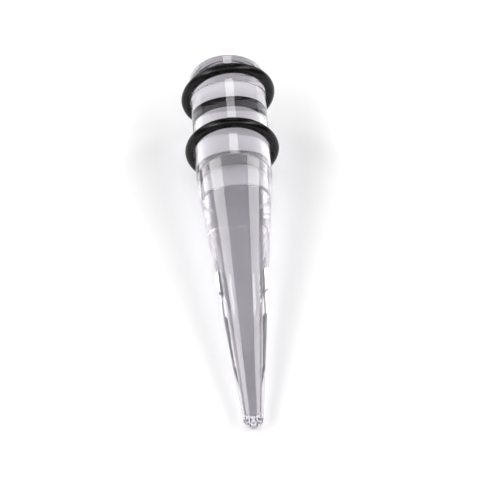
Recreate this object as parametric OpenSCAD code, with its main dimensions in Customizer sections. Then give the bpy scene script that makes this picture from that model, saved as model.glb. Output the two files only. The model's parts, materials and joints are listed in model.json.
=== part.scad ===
// Ear stretching taper: a clear acrylic rod that narrows from its gauge to a rounded tip,
// with two rubber rings gripping the straight shank. The ear lobe rests between the rings.
// All lengths are in millimetres and all angles in degrees.
// The taper lies as it would on a table: on its front ring and its tip, tip towards -Y.

/* [Rod] */
// Gauge of the rod, which is the diameter of its straight shank
shank_d = 10; // [6:0.5:16]
// Length of the straight shank, from the rear face to the start of the cone
shank_l = 17.5; // [14:0.5:30]
// Length of the cone, from the end of the shank to the end of the tip
cone_l = 42.5; // [25:0.5:70]
// Diameter of the rounded tip
tip_d = 2.7; // [1.5:0.1:4]
// Size of the broken edge round the rear face
rear_edge = 0.3; // [0.1:0.05:0.8]
// Width of the fine turned line where the cone starts
line_w = 0.2; // [0.1:0.05:0.4]
// Depth of that turned line
line_deep = 0.06; // [0.02:0.01:0.15]

/* [Rings] */
// Thickness of the round rubber cord of a ring
ring_cord_d = 1.4; // [1:0.1:2.4]
// How much of the cord's inner side its grip on the shank presses flat
ring_flat = 0.2; // [0.05:0.05:0.4]
// Clearance between the shank and the flattened side of a ring
ring_gap = 0.02; // [0.01:0.01:0.05]
// Distance from the rear face to the middle of the rear ring
rear_ring_inset = 3; // [2:0.1:4]
// Distance from the start of the cone back to the middle of the front ring
front_ring_inset = 5; // [2:0.1:6]
// Angle by which the rear ring sits askew on the shank
rear_ring_skew = 4.5; // [0:0.5:6]

/* [Hidden] */
// Smoothness of the round surfaces
$fn = 96;

// The rod, measured along its axis from the rear face
shank_r = shank_d / 2;
tip_r = tip_d / 2;
rod_l = shank_l + cone_l;
tip_at = rod_l - tip_r;

// The cone's side is the line from the edge of the shank that just touches the round tip
cone_side_l = norm([shank_r, tip_at - shank_l]);
half_angle = acos(tip_r / cone_side_l) - atan2(tip_at - shank_l, shank_r);
touch_r = tip_r * cos(half_angle);
touch_at = tip_at + tip_r * sin(half_angle);

// The rings
cord_r = ring_cord_d / 2;
ring_bore_r = shank_r + ring_gap;
ring_middle_r = ring_bore_r + cord_r - ring_flat;
rear_ring_at = rear_ring_inset;
front_ring_at = shank_l - front_ring_inset;

// The lie: the angle at which the front ring and the tip touch the table together
ring_to_tip = tip_at - front_ring_at;
lie = atan2(ring_middle_r, ring_to_tip)
    + asin((cord_r - tip_r) / norm([ring_middle_r, ring_to_tip]));
// Height and place of the middle of the rear face, so that the taper's box is centred
rear_z = ring_middle_r * cos(lie) + cord_r + front_ring_at * sin(lie);
rear_y = (tip_at * cos(lie) + tip_r - (shank_r - rear_edge) * sin(lie)) / 2;
// Turn about the taper's own axis, worked out so that a flat of the meshed front ring and one
// of the meshed rod face the table and keep it from rolling. The real taper has no such flats.
axis_turn = 1.3;

// Lays down what is made upright with its rear end at the origin
module laid() {
    translate([0, rear_y, rear_z])
        rotate([90 + lie, 0, 0])
            rotate([0, 0, axis_turn])
                children();
}

// Half of the rod's outline, from its axis out
module rod_outline() {
    line_half = line_w / 2;
    polygon([
        [0, 0],
        [shank_r - rear_edge, 0],
        [shank_r, rear_edge],
        [shank_r, shank_l - line_half],
        [shank_r - line_deep, shank_l],
        [shank_r - line_half * tan(half_angle), shank_l + line_half],
        [touch_r, touch_at],
        [0, touch_at]
    ]);
    intersection() {
        translate([0, tip_at])
            circle(r = tip_r);
        translate([0, touch_at])
            square(tip_d);
    }
}

// A ring of round cord, cut flat where it grips the shank; skew sets it at a slant
module o_ring(at, skew = 0) {
    difference() {
        translate([0, 0, at])
            rotate([0, skew, 0])
                rotate_extrude()
                    translate([ring_middle_r, 0])
                        circle(r = cord_r);
        cylinder(r = ring_bore_r, h = rod_l);
    }
}

module taper_rod() {
    color([0.88, 0.88, 0.92, 0.45])
        laid()
            rotate_extrude()
                rod_outline();
}

module front_o_ring() {
    color([0.06, 0.06, 0.07])
        laid()
            o_ring(front_ring_at);
}

module rear_o_ring() {
    color([0.06, 0.06, 0.07])
        laid()
            o_ring(rear_ring_at, rear_ring_skew);
}

taper_rod();
front_o_ring();
rear_o_ring();
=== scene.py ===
import json
import math

import bpy
from mathutils import Matrix, Vector


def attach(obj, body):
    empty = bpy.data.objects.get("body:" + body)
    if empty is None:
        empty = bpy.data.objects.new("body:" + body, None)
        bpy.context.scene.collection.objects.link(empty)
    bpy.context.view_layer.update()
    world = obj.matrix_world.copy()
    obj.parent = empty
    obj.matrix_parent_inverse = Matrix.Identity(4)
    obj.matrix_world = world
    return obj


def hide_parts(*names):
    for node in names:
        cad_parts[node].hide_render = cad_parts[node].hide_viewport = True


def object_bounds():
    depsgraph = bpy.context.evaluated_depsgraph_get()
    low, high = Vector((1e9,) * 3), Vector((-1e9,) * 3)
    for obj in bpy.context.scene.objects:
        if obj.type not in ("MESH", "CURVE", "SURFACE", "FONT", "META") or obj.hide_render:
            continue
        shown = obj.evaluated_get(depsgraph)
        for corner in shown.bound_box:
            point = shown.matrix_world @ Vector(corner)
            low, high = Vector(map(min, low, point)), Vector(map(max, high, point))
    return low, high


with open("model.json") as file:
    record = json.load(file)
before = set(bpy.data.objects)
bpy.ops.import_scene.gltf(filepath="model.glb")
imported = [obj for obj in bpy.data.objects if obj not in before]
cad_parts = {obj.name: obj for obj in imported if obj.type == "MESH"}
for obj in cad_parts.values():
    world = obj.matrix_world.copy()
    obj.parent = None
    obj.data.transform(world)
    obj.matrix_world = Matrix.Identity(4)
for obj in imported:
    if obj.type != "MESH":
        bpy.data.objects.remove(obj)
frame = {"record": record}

# A clear acrylic ear stretching taper with two black rubber rings, lying on a pale table.
# Lengths are in metres, and MM turns millimetres into them. Each piece is turned upright along
# its own axis, rear face at the origin and tip upwards, and then laid down.
MM = 0.001
CAD_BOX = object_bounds()

# Sizes of the rod
SHANK_R = 5.0 * MM
SHANK_L = 17.5 * MM
ROD_L = 60.0 * MM
TIP_R = 1.35 * MM
REAR_EDGE = 0.3 * MM
LINE_W = 0.2 * MM
LINE_DEEP = 0.06 * MM
TIP_AT = ROD_L - TIP_R
CONE_SIDE_L = math.hypot(SHANK_R, TIP_AT - SHANK_L)
HALF_ANGLE = math.acos(TIP_R / CONE_SIDE_L) - math.atan2(TIP_AT - SHANK_L, SHANK_R)

# Sizes of the rings
CORD_R = 0.7 * MM
RING_FLAT = 0.2 * MM
RING_GAP = 0.02 * MM
RING_BORE_R = SHANK_R + RING_GAP
RING_MIDDLE_R = RING_BORE_R + CORD_R - RING_FLAT
REAR_RING_AT = 3.0 * MM
FRONT_RING_AT = SHANK_L - 5.0 * MM
REAR_RING_SKEW = math.radians(4.5)
PARTING_H = 0.012 * MM
PRESSED_EDGE = 0.06 * MM

# How fine the round surfaces are
ROUND_STEPS = 192
CORD_STEPS = 56
TIP_STEPS = 26
HAIR = 0.0005 * MM

# The lie of the taper: its rear face and its direction come from the frame
AXIS_TURN = math.radians(1.3)
MOUNTS = {mount["name"]: mount for mount in frame["record"]["mounts"]}
REAR_FACE = Vector(MOUNTS["rear_face"]["pos_m"])
TO_TIP = -Vector(MOUNTS["rear_face"]["axis"]).normalized()
ACROSS = Vector((1, 0, 0))
UPWARD = TO_TIP.cross(ACROSS)
TURNED_TO_LAID = Matrix((ACROSS, UPWARD, TO_TIP)).transposed()
LAID = Matrix.Translation(REAR_FACE) @ TURNED_TO_LAID.to_4x4() @ Matrix.Rotation(AXIS_TURN, 4, "Z")


# The camera
VIEW_AZIMUTH = math.radians(-3.45)
VIEW_ELEVATION = math.radians(43.5)
VIEW_HEIGHT = 63 * MM
AIM_SHARE = 0.45          # how far up the taper the camera aims
LENS_MM = 1000
SENSOR_MM = 36


def set_camera():
    """A long lens at the photograph's angle, with the taper filling most of the frame."""
    data = bpy.data.cameras.new("camera")
    data.lens = LENS_MM
    data.sensor_width = SENSOR_MM
    camera = bpy.data.objects.new("camera", data)
    bpy.context.scene.collection.objects.link(camera)
    back = Vector((
        math.sin(VIEW_AZIMUTH) * math.cos(VIEW_ELEVATION),
        -math.cos(VIEW_AZIMUTH) * math.cos(VIEW_ELEVATION),
        math.sin(VIEW_ELEVATION),
    ))
    lowest, highest = CAD_BOX
    aim = (lowest + highest) / 2
    aim.z = lowest.z + AIM_SHARE * (highest.z - lowest.z)
    distance = VIEW_HEIGHT * LENS_MM / SENSOR_MM
    camera.location = aim + back * distance
    camera.rotation_mode = "QUATERNION"
    camera.rotation_quaternion = (-back).to_track_quat("-Z", "Y")
    data.clip_start = distance / 100
    data.clip_end = distance * 100
    bpy.context.scene.camera = camera


# Modelling helpers
def start_edit():
    """Opens the active piece in edit mode."""
    bpy.ops.object.mode_set(mode="EDIT")


def end_edit():
    """Merges doubles, turns every face outwards and leaves edit mode."""
    bpy.ops.mesh.select_all(action="SELECT")
    bpy.ops.mesh.remove_doubles(threshold=HAIR)
    bpy.ops.mesh.normals_make_consistent(inside=False)
    bpy.ops.object.mode_set(mode="OBJECT")


def draw_out(along, scale):
    """Extrudes the selected rim along the axis and scales it about the axis."""
    bpy.ops.mesh.extrude_region_move(TRANSFORM_OT_translate={"value": (0, 0, along)})
    bpy.ops.transform.resize(value=(scale, scale, 1), center_override=(0, 0, 0))


def turn_on_lathe(name, stations):
    """A round piece from stations of (distance along the axis, radius), closed at both ends."""
    bpy.ops.object.select_all(action="DESELECT")
    start, radius = stations[0]
    bpy.ops.mesh.primitive_circle_add(
        vertices=ROUND_STEPS, radius=radius, fill_type="NGON", location=(0, 0, start)
    )
    piece = bpy.context.object
    piece.name = name
    bpy.ops.object.transform_apply(location=True, rotation=True, scale=True)
    start_edit()
    for at, next_radius in stations[1:]:
        draw_out(at - start, next_radius / radius)
        start, radius = at, next_radius
    bpy.ops.mesh.merge(type="CENTER")
    end_edit()
    return piece


def lay_down(piece, matrix=LAID):
    """Puts the piece in its place, with the place in its mesh."""
    piece.data.transform(matrix)
    piece.data.update()


def smooth(piece, angle):
    """Smooth shading, with edges sharper than the angle left crisp."""
    bpy.ops.object.select_all(action="DESELECT")
    piece.select_set(True)
    bpy.context.view_layer.objects.active = piece
    bpy.ops.object.shade_smooth_by_angle(angle=math.radians(angle))


# The rod
MARK_R = 0.45 * MM
MARK_DEEP = 0.12 * MM
MARK_BOTTOM_R = 0.04 * MM
MARK_STEP = 0.6
TURNED_RING_RADII = [1.1 * MM, 1.9 * MM, 2.7 * MM, 3.5 * MM, 4.2 * MM]
TURNED_RING_W = 0.16 * MM
TURNED_RING_DEEP = 0.005 * MM
EDGE_STEPS = 6
RUN_STEPS = 8
HOLD = 0.05 * MM
TIP_END_R = 0.004 * MM
ROD_CREASE = 20


def rear_face_stations():
    """The sawn and faced rear end, from its centre mark out to the broken edge."""
    stations = [
        (MARK_DEEP, MARK_BOTTOM_R),
        (MARK_STEP * MARK_DEEP, MARK_STEP * MARK_R),
        (0, MARK_R),
    ]
    for ring_r in TURNED_RING_RADII:
        stations.append((0, ring_r - TURNED_RING_W / 2))
        stations.append((TURNED_RING_DEEP, ring_r))
        stations.append((0, ring_r + TURNED_RING_W / 2))
    for step in range(EDGE_STEPS + 1):
        turn = math.pi / 2 * step / EDGE_STEPS
        stations.append((
            REAR_EDGE * (1 - math.cos(turn)),
            SHANK_R - REAR_EDGE * (1 - math.sin(turn)),
        ))
    return stations


def straight_run(start, end):
    """Stations along a straight stretch, with one close to each end to hold the shading true."""
    (start_at, start_r), (end_at, end_r) = start, end
    length = end_at - start_at
    places = [HOLD] + [length * step / RUN_STEPS for step in range(1, RUN_STEPS)]
    places += [length - HOLD, length]
    return [
        (start_at + place, start_r + (end_r - start_r) * place / length) for place in places
    ]


def tip_station(turn):
    """A station on the rounded tip, whose surface there is turned that far from the axis."""
    return TIP_AT + TIP_R * math.sin(turn), TIP_R * math.cos(turn)


def rod_stations():
    """The whole rod: rear end, shank, fine turned line, cone and rounded tip."""
    line_half = LINE_W / 2
    stations = rear_face_stations()
    stations += straight_run(stations[-1], (SHANK_L - line_half, SHANK_R))
    stations.append((SHANK_L, SHANK_R - LINE_DEEP))
    stations.append((SHANK_L + line_half, SHANK_R - line_half * math.tan(HALF_ANGLE)))
    stations += straight_run(stations[-1], tip_station(HALF_ANGLE))
    for step in range(1, TIP_STEPS):
        stations.append(tip_station(HALF_ANGLE + (math.pi / 2 - HALF_ANGLE) * step / TIP_STEPS))
    stations.append((ROD_L, TIP_END_R))
    return stations


def make_rod():
    """The clear rod, turned in one go and laid in its place."""
    rod = turn_on_lathe("acrylic_rod", rod_stations())
    lay_down(rod)
    smooth(rod, ROD_CREASE)
    return rod


# The rings
RING_CREASE = 40


def make_ring(name, at, skew=0.0):
    """A ring of round cord, pressed flat where it grips the shank, with its fine parting line."""
    bpy.ops.object.select_all(action="DESELECT")
    bpy.ops.mesh.primitive_circle_add(
        vertices=CORD_STEPS,
        radius=CORD_R - PARTING_H,
        fill_type="NOTHING",
        location=(RING_MIDDLE_R, 0, 0),
        rotation=(math.pi / 2, 0, 0),
    )
    ring = bpy.context.object
    ring.name = name
    bpy.ops.object.transform_apply(location=True, rotation=True, scale=True)
    start_edit()
    bpy.ops.mesh.select_all(action="SELECT")
    bpy.ops.mesh.bisect(
        plane_co=(RING_BORE_R, 0, 0), plane_no=(1, 0, 0), clear_inner=True, threshold=HAIR
    )
    bpy.ops.object.mode_set(mode="OBJECT")
    for vertex in ring.data.vertices:
        vertex.select = vertex.co.x < RING_BORE_R + HAIR
    start_edit()
    bpy.ops.mesh.select_mode(type="VERT")
    bpy.ops.mesh.edge_face_add()
    bpy.ops.mesh.bevel(offset=PRESSED_EDGE, segments=1, affect="VERTICES")
    bpy.ops.object.mode_set(mode="OBJECT")
    outermost = max(vertex.co.x for vertex in ring.data.vertices)
    for vertex in ring.data.vertices:
        vertex.select = vertex.co.x > outermost - HAIR
    start_edit()
    bpy.ops.transform.translate(value=(PARTING_H, 0, 0))
    bpy.ops.mesh.select_all(action="SELECT")
    bpy.ops.mesh.spin(
        steps=ROUND_STEPS, angle=2 * math.pi, center=(0, 0, 0), axis=(0, 0, 1)
    )
    end_edit()
    askew = Matrix.Translation((0, 0, at))
    askew[2][0] = -math.tan(skew)
    lay_down(ring, LAID @ askew)
    smooth(ring, RING_CREASE)
    return ring


# Finish of the acrylic
ACRYLIC_TINT = (0.84, 0.815, 0.866, 1)
PIT_TINT = (0.64, 0.63, 0.66, 1)
# The colour below darkens the turned line's groove as painted shade.
LINE_PAINTED_SHADE = (0.30, 0.29, 0.31, 1)
BODY_TINT = (0.92, 0.89, 0.935, 1)
BODY_DENSITY = 8.0
ACRYLIC_IOR = 1.49
POLISH = 0.012
HANDLED_DULLNESS = 0.030
SCUFF_DULLNESS = 0.10
PIT_DULLNESS = 0.30
LINE_DULLNESS = 0.30
TURNING_RELIEF = 0.0003 * MM
SCUFF_RELIEF = -0.0006 * MM
PIT_RELIEF = -0.004 * MM
TURNING_STRETCH = (90, 90, 9000)
SCUFF_STRETCH = (7000, 7000, 160)

# Finish of the rubber
RUBBER_DARK = (0.0020, 0.0020, 0.0022, 1)
RUBBER_BLOOM = (0.0040, 0.0040, 0.0043, 1)
DUST_TINT = (0.12, 0.12, 0.12, 1)
RUBBER_IOR = 1.33
RUBBER_SHINE = 0.22
BLOOM_DULLNESS = 0.12
DUST_DULLNESS = 0.35
GRAIN_RELIEF = 0.004 * MM
DUST_RELIEF = 0.006 * MM
GRAIN_STRETCH = (7000, 7000, 7000)


# Material helpers
def new_group(name, inputs, outputs):
    """A shader node group with a Vector input, named number inputs and number outputs."""
    group = bpy.data.node_groups.new(name, "ShaderNodeTree")
    group.interface.new_socket("Vector", in_out="INPUT", socket_type="NodeSocketVector")
    for label, value in inputs.items():
        socket = group.interface.new_socket(label, in_out="INPUT", socket_type="NodeSocketFloat")
        socket.default_value = value
    for label in outputs:
        group.interface.new_socket(label, in_out="OUTPUT", socket_type="NodeSocketFloat")
    return group, group.nodes.new("NodeGroupInput"), group.nodes.new("NodeGroupOutput")


def new_material(name):
    """A node material with its Principled shader and its output."""
    material = bpy.data.materials.new(name)
    material.use_nodes = True
    tree = material.node_tree
    tree.nodes.clear()
    shader = tree.nodes.new("ShaderNodeBsdfPrincipled")
    output = tree.nodes.new("ShaderNodeOutputMaterial")
    tree.links.new(shader.outputs["BSDF"], output.inputs["Surface"])
    return material, tree, shader, output


def add_math(tree, operation, *sources):
    """A Math node whose inputs are sockets or numbers."""
    node = tree.nodes.new("ShaderNodeMath")
    node.operation = operation
    for socket, source in zip(node.inputs, sources):
        if isinstance(source, (int, float)):
            socket.default_value = source
        else:
            tree.links.new(source, socket)
    return node.outputs["Value"]


def add_range(tree, source, low, high, at_low, at_high):
    """Turns a value from low..high into one from at_low..at_high, smoothly and clamped."""
    node = tree.nodes.new("ShaderNodeMapRange")
    node.interpolation_type = "SMOOTHSTEP"
    tree.links.new(source, node.inputs["Value"])
    for label, value in (
        ("From Min", low), ("From Max", high), ("To Min", at_low), ("To Max", at_high)
    ):
        node.inputs[label].default_value = value
    return node.outputs["Result"]


def add_tint(tree, mask, base, over):
    """The base colour where the mask is 0 and the other one where it is 1."""
    node = tree.nodes.new("ShaderNodeMix")
    node.data_type = "RGBA"
    if isinstance(base, tuple):
        node.inputs["A"].default_value = base
    else:
        tree.links.new(base, node.inputs["A"])
    node.inputs["B"].default_value = over
    tree.links.new(mask, node.inputs["Factor"])
    return node.outputs["Result"]


def add_noise(tree, vector, scale, detail, roughness):
    """Cloudy noise; its scale is a number or a socket."""
    node = tree.nodes.new("ShaderNodeTexNoise")
    tree.links.new(vector, node.inputs["Vector"])
    if isinstance(scale, (int, float)):
        node.inputs["Scale"].default_value = scale
    else:
        tree.links.new(scale, node.inputs["Scale"])
    node.inputs["Detail"].default_value = detail
    node.inputs["Roughness"].default_value = roughness
    return node.outputs["Fac"]


def add_group(tree, group, vector, **values):
    """A node group placed in a material, with its own values."""
    node = tree.nodes.new("ShaderNodeGroup")
    node.node_tree = group
    tree.links.new(vector, node.inputs["Vector"])
    for label, value in values.items():
        node.inputs[label.replace("_", " ")].default_value = value
    return node


def add_axis_place(tree, stretch=(1, 1, 1)):
    """Coordinates along the rod's own axis, from its rear face, stretched for a pattern."""
    place = tree.nodes.new("ShaderNodeTexCoord")
    straighten = tree.nodes.new("ShaderNodeMapping")
    straighten.vector_type = "TEXTURE"
    straighten.inputs["Location"].default_value = REAR_FACE
    straighten.inputs["Rotation"].default_value = LAID.to_euler()
    tree.links.new(place.outputs["Object"], straighten.inputs["Vector"])
    pull = tree.nodes.new("ShaderNodeMapping")
    pull.inputs["Scale"].default_value = stretch
    tree.links.new(straighten.outputs["Vector"], pull.inputs["Vector"])
    return pull.outputs["Vector"]


def add_bump(tree, height, distance, under=None):
    """Relief of that height in metres, laid over another relief if one is given."""
    node = tree.nodes.new("ShaderNodeBump")
    node.inputs["Distance"].default_value = distance
    tree.links.new(height, node.inputs["Height"])
    if under is not None:
        tree.links.new(under, node.inputs["Normal"])
    return node.outputs["Normal"]


def make_specks_group():
    """Sparse round specks: the Mask is 1 on a speck and 0 between them."""
    group, start, end = new_group(
        "specks", {"Per Metre": 900.0, "Speck Size": 0.12, "Share": 0.3}, ["Mask"]
    )
    cells = group.nodes.new("ShaderNodeTexVoronoi")
    group.links.new(start.outputs["Vector"], cells.inputs["Vector"])
    group.links.new(start.outputs["Per Metre"], cells.inputs["Scale"])
    pick = group.nodes.new("ShaderNodeSeparateColor")
    group.links.new(cells.outputs["Color"], pick.inputs["Color"])
    size = add_math(group, "MULTIPLY", start.outputs["Speck Size"], pick.outputs["Green"])
    inside = add_math(group, "SUBTRACT", size, cells.outputs["Distance"])
    soft = add_math(group, "MULTIPLY", inside, 20.0)
    chosen = add_math(group, "LESS_THAN", pick.outputs["Red"], start.outputs["Share"])
    mask = group.nodes.new("ShaderNodeClamp")
    group.links.new(add_math(group, "MULTIPLY", soft, chosen), mask.inputs["Value"])
    group.links.new(mask.outputs["Result"], end.inputs["Mask"])
    return group


def make_marks_group():
    """Fine lines drawn out along the stretched vector: sparse scratches and an even grain."""
    group, start, end = new_group("fine_lines", {"Sparse": 0.62}, ["Grain", "Lines"])
    grain = add_noise(group, start.outputs["Vector"], 1.0, 3.0, 0.6)
    group.links.new(grain, end.inputs["Grain"])
    wide = add_noise(group, start.outputs["Vector"], 0.31, 1.0, 0.5)
    over = add_math(group, "SUBTRACT", wide, start.outputs["Sparse"])
    lines = group.nodes.new("ShaderNodeClamp")
    group.links.new(add_math(group, "MULTIPLY", over, 9.0), lines.inputs["Value"])
    group.links.new(lines.outputs["Result"], end.inputs["Lines"])
    return group


def make_handling_group():
    """Soft uneven patches, as polish, fingers and storage leave them, from 0 to 1."""
    group, start, end = new_group("handling", {"Per Metre": 180.0}, ["Patches"])
    broad = add_noise(group, start.outputs["Vector"], start.outputs["Per Metre"], 4.0, 0.62)
    group.links.new(add_range(group, broad, 0.38, 0.68, 0.0, 1.0), end.inputs["Patches"])
    return group


def add_line_mask(tree, along):
    """The turned line, whose base colour is darkened as painted shade in the groove: 1 in the line
    and 0 beside it.
    """
    parts = tree.nodes.new("ShaderNodeSeparateXYZ")
    tree.links.new(along, parts.inputs["Vector"])
    from_line = add_math(tree, "SUBTRACT", parts.outputs["Z"], SHANK_L)
    beside = add_math(tree, "ABSOLUTE", from_line)
    return add_range(tree, beside, 0.3 * LINE_W, 0.6 * LINE_W, 1.0, 0.0)


def make_acrylic(specks, fine_lines, handling):
    """Polished clear acrylic with a faint violet grey body, turning marks and light scuffs."""
    material, tree, shader, output = new_material("clear_acrylic")
    along = add_axis_place(tree)
    patches = add_group(tree, handling, along, Per_Metre=160.0).outputs["Patches"]
    pits = add_group(tree, specks, along, Per_Metre=1100.0, Speck_Size=0.06, Share=0.16)
    turning = add_group(tree, fine_lines, add_axis_place(tree, TURNING_STRETCH), Sparse=0.60)
    scuffs = add_group(tree, fine_lines, add_axis_place(tree, SCUFF_STRETCH), Sparse=0.66)
    in_line = add_line_mask(tree, along)
    dull = add_math(tree, "MULTIPLY", patches, HANDLED_DULLNESS)
    dull = add_math(tree, "MULTIPLY_ADD", scuffs.outputs["Lines"], SCUFF_DULLNESS, dull)
    dull = add_math(tree, "MULTIPLY_ADD", pits.outputs["Mask"], PIT_DULLNESS, dull)
    dull = add_math(tree, "MULTIPLY_ADD", in_line, LINE_DULLNESS, dull)
    tree.links.new(add_math(tree, "ADD", dull, POLISH), shader.inputs["Roughness"])
    pitted = add_tint(tree, pits.outputs["Mask"], ACRYLIC_TINT, PIT_TINT)
    # The turned line is darkened here as painted shade in its groove.
    line_shaded_colour = add_tint(tree, in_line, pitted, LINE_PAINTED_SHADE)
    tree.links.new(line_shaded_colour, shader.inputs["Base Color"])
    relief = add_bump(tree, turning.outputs["Grain"], TURNING_RELIEF)
    relief = add_bump(tree, scuffs.outputs["Lines"], SCUFF_RELIEF, relief)
    relief = add_bump(tree, pits.outputs["Mask"], PIT_RELIEF, relief)
    tree.links.new(relief, shader.inputs["Normal"])
    shader.inputs["IOR"].default_value = ACRYLIC_IOR
    shader.inputs["Transmission Weight"].default_value = 1.0
    body = tree.nodes.new("ShaderNodeVolumeAbsorption")
    body.inputs["Color"].default_value = BODY_TINT
    body.inputs["Density"].default_value = BODY_DENSITY
    tree.links.new(body.outputs["Volume"], output.inputs["Volume"])
    return material


def make_rubber(specks, fine_lines, handling):
    """Moulded black rubber: a fine grain, a soft shine that varies, and a little dust."""
    material, tree, shader, output = new_material("black_rubber")
    along = add_axis_place(tree)
    patches = add_group(tree, handling, along, Per_Metre=420.0).outputs["Patches"]
    dust = add_group(tree, specks, along, Per_Metre=1900.0, Speck_Size=0.13, Share=0.10)
    grain = add_group(tree, fine_lines, add_axis_place(tree, GRAIN_STRETCH), Sparse=0.60)
    dull = add_math(tree, "MULTIPLY_ADD", patches, BLOOM_DULLNESS, RUBBER_SHINE)
    dull = add_math(tree, "MULTIPLY_ADD", dust.outputs["Mask"], DUST_DULLNESS, dull)
    tree.links.new(dull, shader.inputs["Roughness"])
    bloom = add_tint(tree, patches, RUBBER_DARK, RUBBER_BLOOM)
    dusted = add_tint(tree, dust.outputs["Mask"], bloom, DUST_TINT)
    tree.links.new(dusted, shader.inputs["Base Color"])
    relief = add_bump(tree, grain.outputs["Grain"], GRAIN_RELIEF)
    relief = add_bump(tree, dust.outputs["Mask"], DUST_RELIEF, relief)
    tree.links.new(relief, shader.inputs["Normal"])
    shader.inputs["IOR"].default_value = RUBBER_IOR
    return material


# The stage
TABLE_SIZE = 3.0
TABLE_COLOR = (0.86, 0.86, 0.865, 1)
TABLE_ROUGHNESS = 0.5
TABLE_GLOW = 0.05
WHITE = (1, 1, 1, 1)


def make_floor():
    """A large pale table, lit a little from within as a photographer's light table is."""
    bpy.ops.object.select_all(action="DESELECT")
    bpy.ops.mesh.primitive_plane_add(size=TABLE_SIZE, location=(0, 0, 0))
    floor = bpy.context.object
    floor.name = "table"
    material, tree, shader, output = new_material("pale_table")
    shader.inputs["Base Color"].default_value = TABLE_COLOR
    shader.inputs["Roughness"].default_value = TABLE_ROUGHNESS
    shader.inputs["Emission Color"].default_value = WHITE
    shader.inputs["Emission Strength"].default_value = TABLE_GLOW
    floor.data.materials.append(material)


# Softboxes: where each stands round the taper in degrees (0 is behind it, 90 to its right),
# how high, how wide and tall it looks from there, and how bright its face is
SOFTBOX_DISTANCE = 1.2
SOFTBOXES = {
    "band_left": (-59, 30, 16, 32, 5.6),
    "band_right": (59, 30, 16, 32, 4.9),
    "side_left": (-112, 45, 44, 14, 8.5),
    "side_right": (112, 45, 44, 14, 7.3),
    "back_top": (4, 54.5, 19, 12, 5.6),
    "back_low": (0, 13, 40, 8, 1.4),
    "front": (184, 48, 72, 30, 1.6),
}
ROOM_LIGHT = 0.06


def add_softbox(name, azimuth, elevation, width, height, brightness):
    """A soft area light facing the taper, which the camera itself doesn't see."""
    around, up = math.radians(azimuth), math.radians(elevation)
    toward = Vector((
        math.sin(around) * math.cos(up), math.cos(around) * math.cos(up), math.sin(up)
    ))
    data = bpy.data.lights.new(name, "AREA")
    data.shape = "RECTANGLE"
    data.size = 2 * SOFTBOX_DISTANCE * math.tan(math.radians(width) / 2)
    data.size_y = 2 * SOFTBOX_DISTANCE * math.tan(math.radians(height) / 2)
    data.energy = brightness * math.pi * data.size * data.size_y
    lamp = bpy.data.objects.new(name, data)
    bpy.context.scene.collection.objects.link(lamp)
    lamp.location = toward * SOFTBOX_DISTANCE
    lamp.rotation_mode = "QUATERNION"
    lamp.rotation_quaternion = (-toward).to_track_quat("-Z", "Y")
    lamp.visible_camera = False


def set_world():
    """A faint even light from the whole room."""
    world = bpy.data.worlds.new("studio")
    bpy.context.scene.world = world
    world.use_nodes = True
    background = world.node_tree.nodes["Background"]
    background.inputs["Color"].default_value = WHITE
    background.inputs["Strength"].default_value = ROOM_LIGHT


def set_light():
    set_world()
    for name, softbox in SOFTBOXES.items():
        add_softbox(name, *softbox)


def set_look():
    """Plain colours and enough bounces for light to cross the clear rod."""
    scene = bpy.context.scene
    scene.view_settings.view_transform = "Standard"
    scene.cycles.max_bounces = 24
    scene.cycles.transmission_bounces = 24
    scene.cycles.glossy_bounces = 12
    scene.cycles.caustics_reflective = False


set_camera()
SHARED = (make_specks_group(), make_marks_group(), make_handling_group())
acrylic = make_acrylic(*SHARED)
rubber = make_rubber(*SHARED)

rod = make_rod()
rod.data.materials.append(acrylic)
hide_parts("taper_rod")
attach(rod, "root")

RINGS = {
    "front_rubber_ring": ("front_o_ring", FRONT_RING_AT, 0.0),
    "rear_rubber_ring": ("rear_o_ring", REAR_RING_AT, REAR_RING_SKEW),
}
for name, (node, at, skew) in RINGS.items():
    ring = make_ring(name, at, skew)
    ring.data.materials.append(rubber)
    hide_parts(node)
    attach(ring, "root")

make_floor()
set_light()
set_look()
